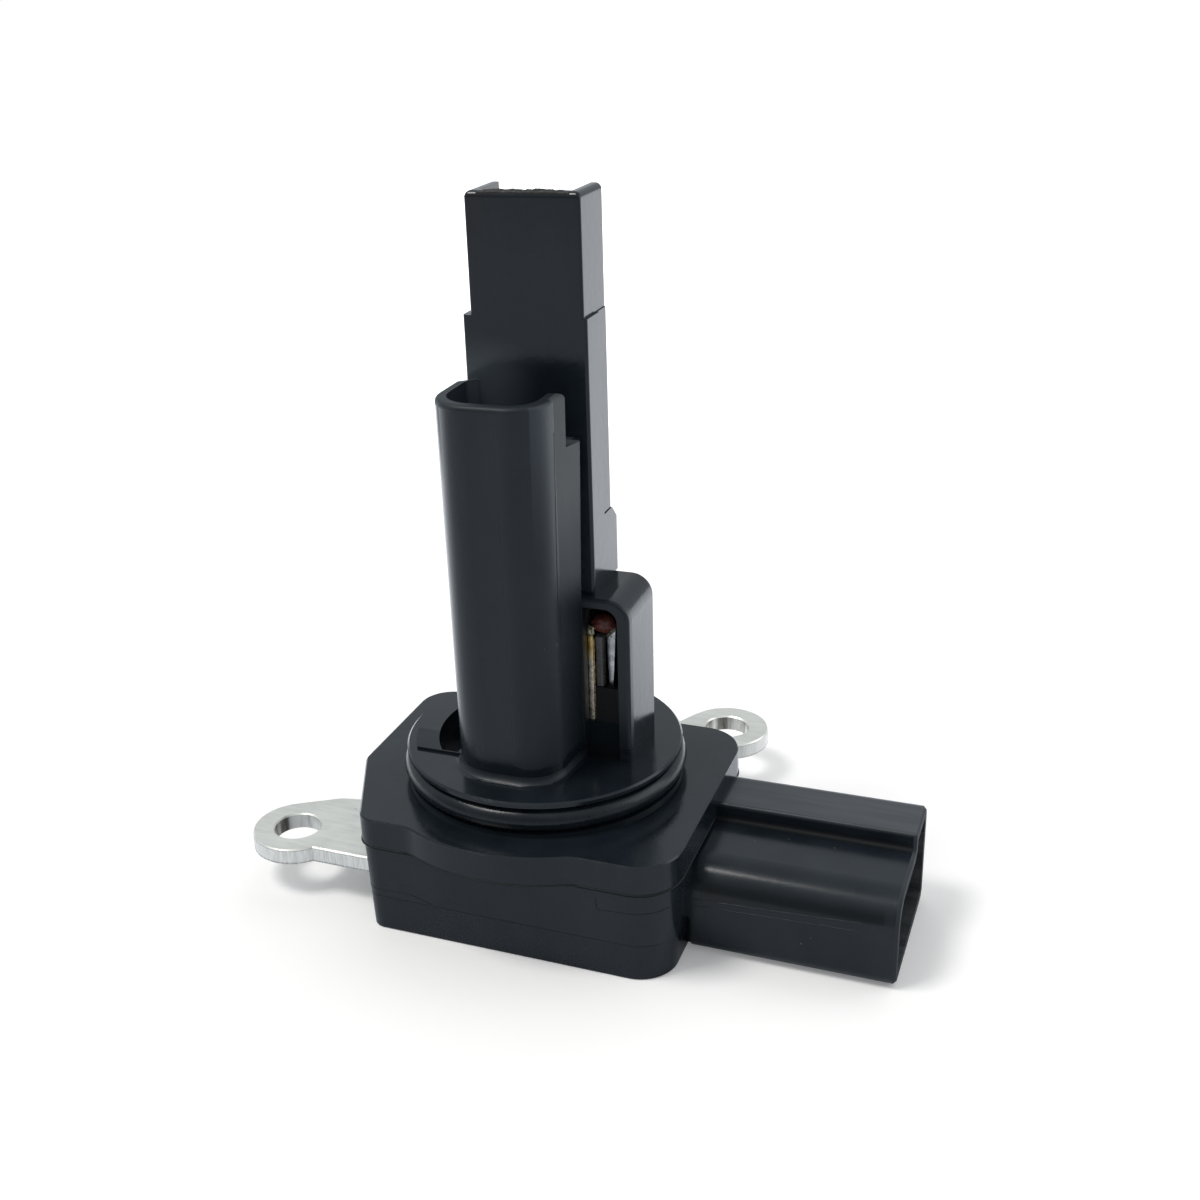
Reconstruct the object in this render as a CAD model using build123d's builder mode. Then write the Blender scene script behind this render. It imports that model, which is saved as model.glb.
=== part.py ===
from build123d import *
import math
import os

os.makedirs("parts", exist_ok=True)

# Plug-in hot-wire mass airflow sensor. It stands on its circuit cover, probe up.
# Frame, in millimetres: origin on the spigot's axis at the underside of the cover,
# +Z along the probe, +X along the connector, -Y towards the bypass tube.

# ---------------------------------------------------------------- driving dimensions
# Case in plan: a rectangle with three round corners and one long cut corner.
case_left, case_right = -19.4, 18.65
case_front, case_back = -16.1, 13.3
case_corner_r = 4.5
cut_front_x, cut_left_y, cut_r = -14.2, -4.4, 2.2

# Levels of the stack: cover, case, flange, spigot.
cover_top = 4.1
case_top = 10.2
flange_top = 13.4
spigot_top = 17.2

# Case and cover draw in towards the foot.
foot_inset, case_draft = 0.6, 0.038
parting_gap, parting_depth = 0.3, 0.5

# Circuit cavity inside the case, closed above by a roof that carries the board.
cavity_left, cavity_right = -13.4, 13.4
cavity_front, cavity_back = -10.6, 7.8
cavity_r = 1.5
roof_bottom = 8.7
cover_floor = 1.5
seal_width, seal_depth = 1.2, 0.8

# Flange and spigot. The flange bulges forward round the spigot.
bulge_r = 18.3
spigot_r = 14.6
groove_bottom, groove_top, groove_r = 13.75, 16.65, 12.55
ring_major_r, ring_section_r, ring_z = 13.75, 1.25, 15.05

# Probe column: a front shell that is part of the flange moulding, a narrow open tip,
# and a glued-on back shell.
col_left, col_right = -5.6, 6.93
tip_left, tip_right = -4.8, 6.62
col_front, col_split, col_back = -2.2, 1.3, 3.78
col_step, tip_top = 62.3, 73.8
duct_left, duct_right = -3.7, 5.6
duct_front, duct_back = -1.25, 2.85
duct_floor = 19.2
neck_right, neck_top = 3.6, 36.0
port_left, port_right, port_top = -3.4, 3.3, 26.0

# Bypass tube in front of the column.
# Above its foot the right wall flares from the crease towards the column.
tube_left, tube_right, tube_front = -6.3, 6.42, -11.3
tube_flare_y, tube_crease = -3.4, (5.2, -7.0)
tube_foot_right = 5.5
tube_left_r, tube_right_r = 4.3, 3.7
tube_corner_cut = 0.95
tube_wall = 1.1
tube_top = 56.1
tube_draft = 0.55
tube_floor = 19.2
notch_bottom, notch_front = 51.0, -5.4

# Back shell of the column, with a wider skirt at its foot.
cover_left, cover_right = -5.1, 6.75
skirt_right, skirt_back, skirt_top = 6.85, 5.1, 42.0
skirt_slope = 1.3

# Thermistor guard on the column's right.
hood_left, hood_right = 4.5, 10.78
hood_front, hood_back = -3.35, 4.56
hood_top, hood_shoulder_r = 34.85, 2.2
window_left, window_right, window_top = 5.45, 9.56, 33.9
window_back, window_clear = 3.6, 5.95
pedestal_top, pedestal_front = 20.8, -2.2

# Air thermistor in the guard: two tinned blades, a post, and a bead on top of it.
# Blades and post as (left, right, front, back).
blades = [(5.85, 6.55, -2.0, -1.55), (7.8, 8.55, -1.3, -0.85)]
blade_tops = [30.3, 29.6]
post_plan = (6.7, 7.55, -2.0, -0.9)
bead_x, bead_y = 7.55, -0.9
bead_bottom, bead_z, bead_r = 30.2, 31.25, 1.3

# D-shaped core hole in the spigot's top, and the shallow pad round it.
core_r, core_side, core_front, core_depth = 11.2, -6.95, -7.0, 3.4
pad_r, pad_front, pad_top = 13.6, -7.15, 17.45

# Connector: a five-way socket with a raised latch rib along its top.
plug_front, plug_back = -9.2, 7.8
plug_bottom, plug_top, rib_top = 0.15, 9.8, 11.6
rib_front = 0.8
plug_end = 38.95
plug_wall, plug_root = 1.3, 1.5
socket_floor = 22.5
pin_size, pin_pitch, pin_count = 0.64, 2.2, 5
pin_tip, pin_leg_x = 32.0, 11.3
pin_z = 5.0
pin_mid_y = -0.7

# Mounting bracket: a stamped L of steel plate between cover and case, with two ears.
plate_bottom, plate_top = cover_top, 5.9
ear_r, ear_hole_r = 4.95, 2.55
ear_left = (-26.4, -8.75)
ear_back = (12.5, 27.7)
band_outer_left, band_inner_left = -17.8, -14.6
band_outer_back, band_inner_back = 12.0, 9.0

# Circuit board and what it carries, under the roof.
board_left, board_right = -12.4, 12.4
board_front, board_back = -9.8, 7.0
board_bottom = 7.1
gel_bottom = 4.3

# Sensing elements in the duct, on four posts.
post_size = 0.5
outer_post_x, inner_post_x, post_y = 2.8, 1.0, 0.75
outer_post_top, inner_post_top = 31.0, 27.0


# ---------------------------------------------------------------- shared outlines
def round_corners(plan, corners):
    """Round the plan's vertices nearest to the given points: (x, y, radius)."""
    for x, y, r in corners:
        fillet(plan.vertices().sort_by_distance((x, y, 0))[0], radius=r)


def case_outline(grow=0.0):
    """Outline shared by the cover, the case and the flange."""
    with BuildSketch() as plan:
        with BuildLine():
            Polyline(
                (case_left, case_back),
                (case_right, case_back),
                (case_right, case_front),
                (cut_front_x, case_front),
                (case_left, cut_left_y),
                close=True,
            )
        make_face()
        round_corners(plan, [
            (case_left, case_back, case_corner_r - 0.8),
            (case_right, case_back, case_corner_r),
            (case_right, case_front, case_corner_r),
            (cut_front_x, case_front, cut_r),
            (case_left, cut_left_y, cut_r),
        ])
        if grow:
            offset(amount=grow)
    return plan.sketch


def flange_outline():
    """The case outline with the forward bulge, blended in on both sides."""
    blend_r = 4.0
    with BuildSketch() as plan:
        add(case_outline())
        with BuildSketch(mode=Mode.PRIVATE) as bulge:
            Circle(bulge_r)
            with Locations((0, case_front)):
                Rectangle(2 * bulge_r, 8.0, mode=Mode.INTERSECT)
        add(bulge.sketch)
        meet_x = (bulge_r**2 - case_front**2) ** 0.5
        round_corners(plan, [(-meet_x, case_front, blend_r), (meet_x, case_front, blend_r)])
    return plan.sketch


def box_outline(left, right, front, back, radius=0.0):
    """A rectangle given by its four sides."""
    with BuildSketch() as plan:
        with Locations(((left + right) / 2, (front + back) / 2)):
            if radius:
                RectangleRounded(right - left, back - front, radius)
            else:
                Rectangle(right - left, back - front)
    return plan.sketch


def cavity_outline(grow=0.0):
    """The circuit cavity, or the same grown outwards."""
    return box_outline(
        cavity_left - grow, cavity_right + grow,
        cavity_front - grow, cavity_back + grow, cavity_r + grow,
    )


def bracket_outline():
    """An L-shaped band round the case's back left corner, with an ear at each end."""
    root_front, root_back = -12.1, -1.0
    root_left, root_right = 4.6, 15.0
    with BuildSketch() as plan:
        # band along the left wall and along the back wall
        add(box_outline(band_outer_left, band_inner_left, root_front, band_outer_back, 1.0))
        add(box_outline(band_outer_left, root_right, band_inner_back, band_outer_back, 1.0))
        # left ear, its neck widening towards the case
        with Locations(ear_left):
            Circle(ear_r)
        with BuildLine():
            Polyline(
                (ear_left[0] + 1.0, root_front),
                (band_inner_left, root_front),
                (band_inner_left, root_back + 0.6),
                (-20.0, root_back),
                (-24.5, root_back - 0.8),
                (-28.8, -4.4),
                (ear_left[0], ear_left[1]),
                close=True,
            )
        make_face()
        # back ear, the left ear mirrored across the case's diagonal
        with Locations(ear_back):
            Circle(ear_r)
        with BuildLine():
            Polyline(
                (root_right, ear_back[1] - 2.6),
                (root_right, band_inner_back),
                (root_left - 1.0, band_inner_back),
                (root_left, 19.5),
                (5.3, 25.0),
                (8.1, 30.1),
                (ear_back[0], ear_back[1]),
                close=True,
            )
        make_face()
        round_corners(plan, [
            (-24.5, root_back - 0.8, 3.0),
            (5.3, 25.0, 3.0),
            (band_inner_left, band_inner_back, 1.5),
        ])
    return plan.sketch


def guard_block():
    """The thermistor guard before its window is cut: one round shoulder, soft edges."""
    with BuildPart() as block:
        with BuildSketch(Plane.XZ.offset(-hood_back)) as side:
            with BuildLine():
                Polyline(
                    (hood_left, case_top),
                    (hood_right, case_top),
                    (hood_right, hood_top),
                    (hood_left, hood_top),
                    close=True,
                )
            make_face()
            round_corners(side, [(hood_right, hood_top, hood_shoulder_r)])
        extrude(amount=hood_back - hood_front)
        rim_front = block.faces().sort_by(Axis.Y)[0].edges()
        rim_back = block.faces().sort_by(Axis.Y)[-1].edges()
        for rim, radius in [(rim_front, 0.4), (rim_back, 0.15)]:
            outer = [e for e in rim
                     if e.center().X > hood_left + 0.1 and e.center().Z > case_top + 0.1]
            fillet(outer, radius=radius)
    return block.part


def tube_outline(front, flare_x, grow=0.0):
    """Plan of the bypass tube: a round front between a flat left and a flared right wall."""
    left, right = tube_left - grow, flare_x + grow
    crease_x, crease_y = tube_crease[0] + grow, tube_crease[1]
    with BuildSketch() as plan:
        with BuildLine():
            Polyline(
                (left, col_front - tube_corner_cut),
                (left + tube_corner_cut, col_front),
                (crease_x + 0.7 * (right - crease_x), col_front),
                (right, tube_flare_y),
                (crease_x, crease_y),
                (crease_x, front),
                (left, front),
                close=True,
            )
        make_face()
        round_corners(plan, [
            (left, front, tube_left_r + grow),
            (crease_x, front, tube_right_r + grow - 0.02),
        ])
    return plan.sketch


def shell_outline(left, right, back):
    """Plan of a stretch of the column, its two front corners rounded."""
    corner_r = 0.3
    with BuildSketch() as plan:
        add(box_outline(left, right, col_front, back))
        round_corners(plan, [(left, col_front, corner_r), (right, col_front, corner_r)])
    return plan.sketch


def plug_outline(inset=0.0):
    """Section of the connector across X, as (y, z): a rounded box with a latch rib on top."""
    with BuildSketch() as section:
        with BuildLine():
            Polyline(
                (plug_front, plug_bottom),
                (plug_back, plug_bottom),
                (plug_back, rib_top),
                (rib_front, rib_top),
                (rib_front, plug_top),
                (plug_front, plug_top),
                close=True,
            )
        make_face()
        round_corners(section, [
            (plug_front, plug_top, 3.7),
            (plug_front, plug_bottom, 1.5),
            (plug_back, plug_bottom, 1.5),
            (plug_back, rib_top, 1.6),
            (rib_front, rib_top, 0.4),
            (rib_front, plug_top, 0.35),
        ])
        if inset:
            offset(amount=-inset)
    return section.sketch


def pin_ys():
    """Y of each connector pin."""
    middle = (pin_count - 1) / 2
    return [pin_mid_y + (i - middle) * pin_pitch for i in range(pin_count)]


def post_spots():
    """(x, top) of each element post, from left to right."""
    return [
        (-outer_post_x, outer_post_top),
        (-inner_post_x, inner_post_top),
        (inner_post_x, inner_post_top),
        (outer_post_x, outer_post_top),
    ]


def save(part, name):
    """Label one finished piece and write it as its own STEP file."""
    part.label = name
    export_step(part, f"parts/{name}.step")


# ---------------------------------------------------------------- mounting bracket
with BuildPart() as mounting_bracket:
    with BuildSketch(Plane.XY.offset(plate_bottom)):
        add(bracket_outline())
        with Locations(ear_left, ear_back):
            Circle(ear_hole_r, mode=Mode.SUBTRACT)
    extrude(amount=plate_top - plate_bottom)
    rims = mounting_bracket.edges().group_by(Axis.Z)[-1]
    chamfer(rims, length=0.15)

save(mounting_bracket.part, "mounting_bracket")

# ---------------------------------------------------------------- circuit cover
with BuildPart() as circuit_cover:
    with BuildSketch():
        add(case_outline(-foot_inset))
    extrude(amount=cover_top, taper=-math.degrees(case_draft))
    chamfer(circuit_cover.edges().group_by(Axis.Z)[0], length=0.12)
    chamfer(circuit_cover.edges().group_by(Axis.Z)[-1], length=0.1)
    with BuildSketch(Plane.XY.offset(cover_floor)):
        add(cavity_outline())
    extrude(amount=cover_top - cover_floor, mode=Mode.SUBTRACT)
    # groove for the bead of sealant, round the pocket
    with BuildSketch(Plane.XY.offset(cover_top - seal_depth)):
        add(cavity_outline(0.6 + seal_width))
        add(cavity_outline(0.6), mode=Mode.SUBTRACT)
    extrude(amount=seal_depth, mode=Mode.SUBTRACT)
    # shallow groove moulded round the underside's middle
    with BuildSketch():
        add(box_outline(-11.0, 13.0, -9.0, 7.5, 2.0))
        add(box_outline(-10.2, 12.2, -8.2, 6.7, 1.2), mode=Mode.SUBTRACT)
    extrude(amount=0.3, mode=Mode.SUBTRACT)

save(circuit_cover.part, "circuit_cover")

with BuildPart() as cover_sealant:
    with BuildSketch(Plane.XY.offset(cover_top - seal_depth)):
        add(cavity_outline(0.6 + seal_width))
        add(cavity_outline(0.6), mode=Mode.SUBTRACT)
    extrude(amount=seal_depth)

save(cover_sealant.part, "cover_sealant")

# ---------------------------------------------------------------- case with connector
with BuildPart() as connector_case:
    with BuildSketch(Plane.XY.offset(cover_top)):
        add(case_outline(cover_top * case_draft - foot_inset))
    extrude(amount=case_top - cover_top, taper=-math.degrees(case_draft))
    # narrow parting groove right under the flange
    with BuildSketch(Plane.XY.offset(case_top - parting_gap)):
        add(case_outline(1.0))
        add(case_outline(-parting_depth), mode=Mode.SUBTRACT)
    extrude(amount=parting_gap, mode=Mode.SUBTRACT)
    # connector, rooted in the case's sloping wall between cover and flange
    with BuildSketch(Plane.YZ.offset(case_right - plug_root)):
        add(plug_outline())
        add(box_outline(plug_front, plug_back, cover_top, case_top), mode=Mode.INTERSECT)
    extrude(amount=plug_root)
    with BuildSketch(Plane.YZ.offset(case_right)):
        add(plug_outline())
    extrude(amount=plug_end - case_right)
    chamfer(connector_case.edges().group_by(Axis.X)[-1], length=0.3)
    with BuildSketch(Plane.YZ.offset(socket_floor)):
        add(plug_outline(plug_wall))
    extrude(amount=plug_end - socket_floor, mode=Mode.SUBTRACT)
    # two guide ribs on the socket's floor
    with BuildSketch(Plane.YZ.offset(socket_floor)):
        with Locations((-5.6, 1.9), (4.2, 1.9)):
            Rectangle(0.9, 1.2)
    extrude(amount=plug_end - socket_floor - 2.5)
    # circuit cavity
    with BuildSketch(Plane.XY.offset(cover_top)):
        add(cavity_outline())
    extrude(amount=roof_bottom - cover_top, mode=Mode.SUBTRACT)
    # recess that the bracket lies in
    with BuildSketch(Plane.XY.offset(plate_bottom)):
        add(bracket_outline())
    extrude(amount=plate_top - plate_bottom, mode=Mode.SUBTRACT)
    # passages for the pins, the posts and the thermistor's terminals
    for y in pin_ys():
        with BuildSketch(Plane.YZ.offset(cavity_right)):
            with Locations((y, pin_z)):
                Rectangle(pin_size, pin_size)
        extrude(amount=socket_floor - cavity_right, mode=Mode.SUBTRACT)
    with BuildSketch(Plane.XY.offset(roof_bottom)):
        for x, top in post_spots():
            with Locations((x, post_y)):
                Rectangle(post_size, post_size)
        for left, right, front, back in blades:
            add(box_outline(left, right, front, back))
    extrude(amount=case_top - roof_bottom, mode=Mode.SUBTRACT)

save(connector_case.part, "connector_case")

# ---------------------------------------------------------------- sensor housing
with BuildPart() as sensor_housing:
    # flange
    with BuildSketch(Plane.XY.offset(case_top)):
        add(flange_outline())
    extrude(amount=flange_top - case_top)
    chamfer(sensor_housing.edges().group_by(Axis.Z)[-1], length=0.15)
    # spigot
    with BuildSketch(Plane.XY.offset(case_top)):
        Circle(spigot_r)
    extrude(amount=spigot_top - case_top)
    chamfer(sensor_housing.edges().group_by(Axis.Z)[-1], length=0.2)
    # bypass tube, drawn in slightly towards its foot, with a fillet on to the spigot
    with BuildSketch(Plane.XY.offset(spigot_top)):
        add(tube_outline(tube_front + tube_draft, tube_foot_right))
    with BuildSketch(Plane.XY.offset(tube_top)):
        add(tube_outline(tube_front, tube_right))
    loft()
    foot = sensor_housing.edges().filter_by_position(Axis.Z, spigot_top - 0.01, spigot_top + 0.01)
    fillet([e for e in foot if e.center().Y < col_front - 0.5 and e.length < 25], radius=0.8)
    soft_rim = sensor_housing.edges().group_by(Axis.Z)[-1]
    fillet([e for e in soft_rim if e.center().Y < col_front - 0.1], radius=0.45)
    # shallow pad left of the column
    with BuildSketch(Plane.XY.offset(case_top)):
        Circle(pad_r)
        add(box_outline(-pad_r, col_left, pad_front, pad_r), mode=Mode.INTERSECT)
    extrude(amount=pad_top - case_top)
    # column's front shell and tip
    with BuildSketch(Plane.XY.offset(case_top)):
        add(shell_outline(col_left, col_right, col_split))
    extrude(amount=col_step - case_top)
    with BuildSketch(Plane.XY.offset(case_top)):
        add(shell_outline(tip_left, tip_right, col_split))
    extrude(amount=tip_top - case_top)
    with BuildSketch(Plane.XY.offset(col_step)):
        add(shell_outline(tip_left, tip_right, col_back))
    extrude(amount=tip_top - col_step)
    # the tip's upper edges are softened, most of all along its two sides
    tip_rim = sensor_housing.edges().group_by(Axis.Z)[-1]
    fillet(tip_rim.filter_by(Axis.Y), radius=0.6)
    fillet(sensor_housing.edges().group_by(Axis.Z)[-1].filter_by(Axis.X), radius=0.12)
    # thermistor guard
    add(guard_block())
    # duct in the column, open at the tip's top and back, narrowed beside the guard
    with BuildSketch(Plane.XY.offset(neck_top)):
        add(box_outline(duct_left, duct_right, duct_front, col_back + 1.0))
    extrude(amount=tip_top - neck_top, mode=Mode.SUBTRACT)
    with BuildSketch(Plane.XY.offset(duct_floor)):
        add(box_outline(duct_left, neck_right, duct_front, col_back + 1.0))
    extrude(amount=neck_top - duct_floor, mode=Mode.SUBTRACT)
    # inside of the bypass tube, and the port that joins it to the duct
    with BuildSketch(Plane.XY.offset(tube_floor)):
        add(tube_outline(tube_front + tube_draft + tube_wall, tube_crease[0], -tube_wall))
    with BuildSketch(Plane.XY.offset(tube_top)):
        add(tube_outline(tube_front + tube_wall, tube_crease[0], -tube_wall))
    loft(mode=Mode.SUBTRACT)
    with BuildSketch(Plane.XZ.offset(-duct_front)):
        add(box_outline(port_left, port_right, duct_floor, port_top, 0.6))
    extrude(amount=duct_front - col_front, mode=Mode.SUBTRACT)
    # notch in the tube's right wall, beside the column
    with BuildSketch(Plane.XY.offset(notch_bottom)):
        add(box_outline(tube_crease[0] - tube_wall, tube_right + 0.5, notch_front, col_front))
    extrude(amount=tube_top - notch_bottom, mode=Mode.SUBTRACT)
    # window of the guard, open at the front
    for left, front in [(window_left, col_front), (window_clear, hood_front)]:
        with BuildSketch(Plane.XZ.offset(-window_back)) as window:
            with BuildLine():
                Polyline(
                    (left, pedestal_top),
                    (window_right, pedestal_top),
                    (window_right, window_top),
                    (left, window_top),
                    close=True,
                )
            make_face()
            round_corners(window, [(window_right, window_top, 1.4)])
        extrude(amount=window_back - front, mode=Mode.SUBTRACT)
    # the pedestal stands back from the window
    with BuildSketch(Plane.XY.offset(spigot_top)):
        add(box_outline(window_clear, window_right, hood_front, pedestal_front))
    extrude(amount=pedestal_top - spigot_top, mode=Mode.SUBTRACT)
    # seal groove
    with BuildSketch(Plane.XY.offset(groove_bottom)):
        Circle(spigot_r + 0.5)
        Circle(groove_r, mode=Mode.SUBTRACT)
    extrude(amount=groove_top - groove_bottom, mode=Mode.SUBTRACT)
    # D-shaped core hole left of the column
    with BuildSketch(Plane.XY.offset(spigot_top - core_depth)):
        Circle(core_r)
        add(box_outline(-core_r, core_side, core_front, -core_front), mode=Mode.INTERSECT)
    extrude(amount=pad_top - spigot_top + core_depth, mode=Mode.SUBTRACT)
    # passages for the element posts
    for x, top in post_spots():
        with BuildSketch(Plane.XY.offset(case_top)):
            with Locations((x, post_y)):
                Rectangle(post_size, post_size)
        extrude(amount=duct_floor - case_top, mode=Mode.SUBTRACT)
    # sockets of the thermistor's two terminals
    for left, right, front, back in blades:
        with BuildSketch(Plane.XY.offset(case_top)):
            add(box_outline(left, right, front, back))
        extrude(amount=pedestal_top - case_top, mode=Mode.SUBTRACT)

save(sensor_housing.part, "sensor_housing")

# ---------------------------------------------------------------- back shell of the column
with BuildPart() as bypass_cover:
    with BuildSketch(Plane.XY.offset(spigot_top)) as upper:
        add(box_outline(tip_left, cover_right, col_split, col_back))
        round_corners(upper, [(tip_left, col_back, 0.2), (cover_right, col_back, 0.2)])
    extrude(amount=col_step - spigot_top)
    # skirt, its top sloping back to the shell
    with BuildSketch(Plane.YZ.offset(cover_left)):
        with BuildLine():
            Polyline(
                (col_split, spigot_top),
                (skirt_back, spigot_top),
                (skirt_back, skirt_top - skirt_slope),
                (skirt_back - skirt_slope, skirt_top),
                (col_split, skirt_top),
                close=True,
            )
        make_face()
    extrude(amount=skirt_right - cover_left)
    # room for the guard beside it, and the duct inside it
    with BuildSketch(Plane.XY.offset(spigot_top)):
        add(box_outline(hood_left, hood_right, col_front, skirt_back + 1.0))
    extrude(amount=hood_top - spigot_top, mode=Mode.SUBTRACT)
    with BuildSketch(Plane.XY.offset(neck_top)):
        add(box_outline(duct_left, duct_right, col_front, duct_back))
    extrude(amount=col_step - neck_top, mode=Mode.SUBTRACT)
    with BuildSketch(Plane.XY.offset(duct_floor)):
        add(box_outline(duct_left, neck_right, col_front, duct_back))
    extrude(amount=neck_top - duct_floor, mode=Mode.SUBTRACT)

save(bypass_cover.part, "bypass_cover")

# ---------------------------------------------------------------- seal ring
with BuildPart() as o_ring:
    with BuildSketch(Plane.XZ):
        with Locations((ring_major_r, ring_z)):
            RegularPolygon(radius=ring_section_r, side_count=12)
        # flattened where it grips the groove
        with Locations((groove_r / 2, ring_z)):
            Rectangle(groove_r, 4 * ring_section_r, mode=Mode.SUBTRACT)
    revolve(axis=Axis.Z)

save(o_ring.part, "o_ring")

# ---------------------------------------------------------------- connector pins
for i, y in enumerate(pin_ys()):
    with BuildPart() as terminal:
        with BuildSketch(Plane.YZ.offset(pin_leg_x)):
            with Locations((y, pin_z)):
                Rectangle(pin_size, pin_size)
        extrude(amount=pin_tip - pin_leg_x)
        chamfer(terminal.faces().sort_by(Axis.X)[-1].edges(), length=0.18)
        with BuildSketch(Plane.XY.offset(pin_z - pin_size / 2)):
            with Locations((pin_leg_x + pin_size / 2, y)):
                Rectangle(pin_size, pin_size)
        extrude(amount=board_bottom - pin_z + pin_size / 2)
    save(terminal.part, f"terminal_{i + 1}")

# ---------------------------------------------------------------- circuit board and parts
with BuildPart() as circuit_board:
    with BuildSketch(Plane.XY.offset(board_bottom)):
        add(box_outline(board_left, board_right, board_front, board_back, 0.5))
    extrude(amount=roof_bottom - board_bottom)

save(circuit_board.part, "circuit_board")

# name, left, right, front, back, height below the board
board_parts = [
    ("control_chip", -4.5, 2.5, -4.2, 1.8, 1.2),
    ("capacitor_1", -10.2, -8.2, -6.4, -5.2, 0.9),
    ("capacitor_2", -10.2, -8.2, -2.6, -1.4, 0.9),
    ("capacitor_3", 5.2, 7.2, -7.8, -6.6, 0.9),
    ("resistor_1", -10.0, -8.4, 2.2, 3.0, 0.5),
    ("resistor_2", -6.8, -5.2, 4.4, 5.2, 0.5),
    ("resistor_3", 5.4, 7.0, 4.0, 4.8, 0.5),
]
for name, left, right, front, back, height in board_parts:
    with BuildPart() as chip:
        with BuildSketch(Plane.XY.offset(board_bottom - height)):
            add(box_outline(left, right, front, back))
        extrude(amount=height)
        chamfer(chip.edges().group_by(Axis.Z)[0], length=0.12)
    save(chip.part, name)

# soft gel that covers the circuit, cast round everything in the cavity
with BuildPart() as potting_gel:
    with BuildSketch(Plane.XY.offset(gel_bottom)):
        add(cavity_outline())
    extrude(amount=roof_bottom - gel_bottom)
    with BuildSketch(Plane.XY.offset(board_bottom)):
        add(box_outline(board_left, board_right, board_front, board_back, 0.5))
    extrude(amount=roof_bottom - board_bottom, mode=Mode.SUBTRACT)
    for name, left, right, front, back, height in board_parts:
        with BuildSketch(Plane.XY.offset(board_bottom - height)):
            add(box_outline(left, right, front, back))
        extrude(amount=height, mode=Mode.SUBTRACT)
    for y in pin_ys():
        with BuildSketch(Plane.XY.offset(pin_z - pin_size / 2)):
            add(box_outline(pin_leg_x, cavity_right, y - pin_size / 2, y + pin_size / 2))
        extrude(amount=pin_size, mode=Mode.SUBTRACT)
        with BuildSketch(Plane.XY.offset(pin_z)):
            add(box_outline(pin_leg_x, pin_leg_x + pin_size, y - pin_size / 2, y + pin_size / 2))
        extrude(amount=board_bottom - pin_z, mode=Mode.SUBTRACT)

save(potting_gel.part, "potting_gel")

# ---------------------------------------------------------------- sensing elements
for i, (x, top) in enumerate(post_spots()):
    with BuildPart() as post:
        with BuildSketch(Plane.XY.offset(roof_bottom)):
            with Locations((x, post_y)):
                Rectangle(post_size, post_size)
        extrude(amount=top - roof_bottom)
        chamfer(post.edges().group_by(Axis.Z)[-1], length=0.1)
    save(post.part, f"element_post_{i + 1}")


def sensing_element(post_x, top, body_length, body_r):
    """A platinum-film rod on two thin leads, slung between the posts at +-post_x."""
    lead_r, drop = 0.1, 0.6
    with BuildPart() as element:
        for half, radius in [(body_length / 2, body_r), (post_x - post_size / 2, lead_r)]:
            with BuildSketch(Plane.YZ.offset(-half)):
                with Locations((post_y, top - drop)):
                    Circle(radius)
            extrude(amount=2 * half)
    return element.part


save(sensing_element(outer_post_x, outer_post_top, 2.2, 0.35), "heating_element")
save(sensing_element(inner_post_x, inner_post_top, 0.9, 0.3), "compensation_element")

# ---------------------------------------------------------------- air thermistor
for i, (left, right, front, back) in enumerate(blades):
    with BuildPart() as blade:
        with BuildSketch(Plane.XY.offset(roof_bottom)):
            add(box_outline(left, right, front, back))
        extrude(amount=blade_tops[i] - roof_bottom)
    save(blade.part, f"thermistor_blade_{i + 1}")

with BuildPart() as thermistor_post:
    with BuildSketch(Plane.XY.offset(pedestal_top)):
        add(box_outline(*post_plan, 0.25))
    extrude(amount=bead_bottom - pedestal_top)

save(thermistor_post.part, "thermistor_post")

# epoxy bead, with a flat where it sits on the post
with BuildPart() as thermistor_bead:
    with Locations((bead_x, bead_y, bead_z)):
        Sphere(bead_r)
    with BuildSketch(Plane.XY.offset(bead_bottom)):
        with Locations((bead_x, bead_y)):
            Circle(bead_r)
    extrude(amount=-bead_r, mode=Mode.SUBTRACT)

save(thermistor_bead.part, "thermistor_bead")

# wires from the blades into the bead, each with a blob of solder at the blade
wire_r, solder_r = 0.14, 0.42
for i, (left, right, front, back) in enumerate(blades):
    with BuildPart() as wire:
        blade_end = ((left + right) / 2, (front + back) / 2, blade_tops[i])
        with BuildLine():
            Polyline(blade_end, (blade_end[0], blade_end[1], bead_z), (bead_x, bead_y, bead_z))
        with BuildSketch(Plane(blade_end)):
            RegularPolygon(radius=wire_r, side_count=8)
        sweep(transition=Transition.RIGHT)
        with BuildSketch(Plane(blade_end)):
            RegularPolygon(radius=solder_r, side_count=10)
        extrude(amount=0.55, taper=28)
        add(thermistor_bead.part, mode=Mode.SUBTRACT)
    save(wire.part, f"thermistor_lead_{i + 1}")
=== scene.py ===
"""Looks, fine pieces, stage, lamps and camera for the mass airflow sensor.

Places and sizes are in millimetres, and piece() brings each mesh to metres. Materials are
procedural and are set out from the same places as the pieces.
"""
import math

import bmesh
import bpy
from mathutils import Euler, Matrix, Vector, noise
from mathutils.bvhtree import BVHTree


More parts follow.
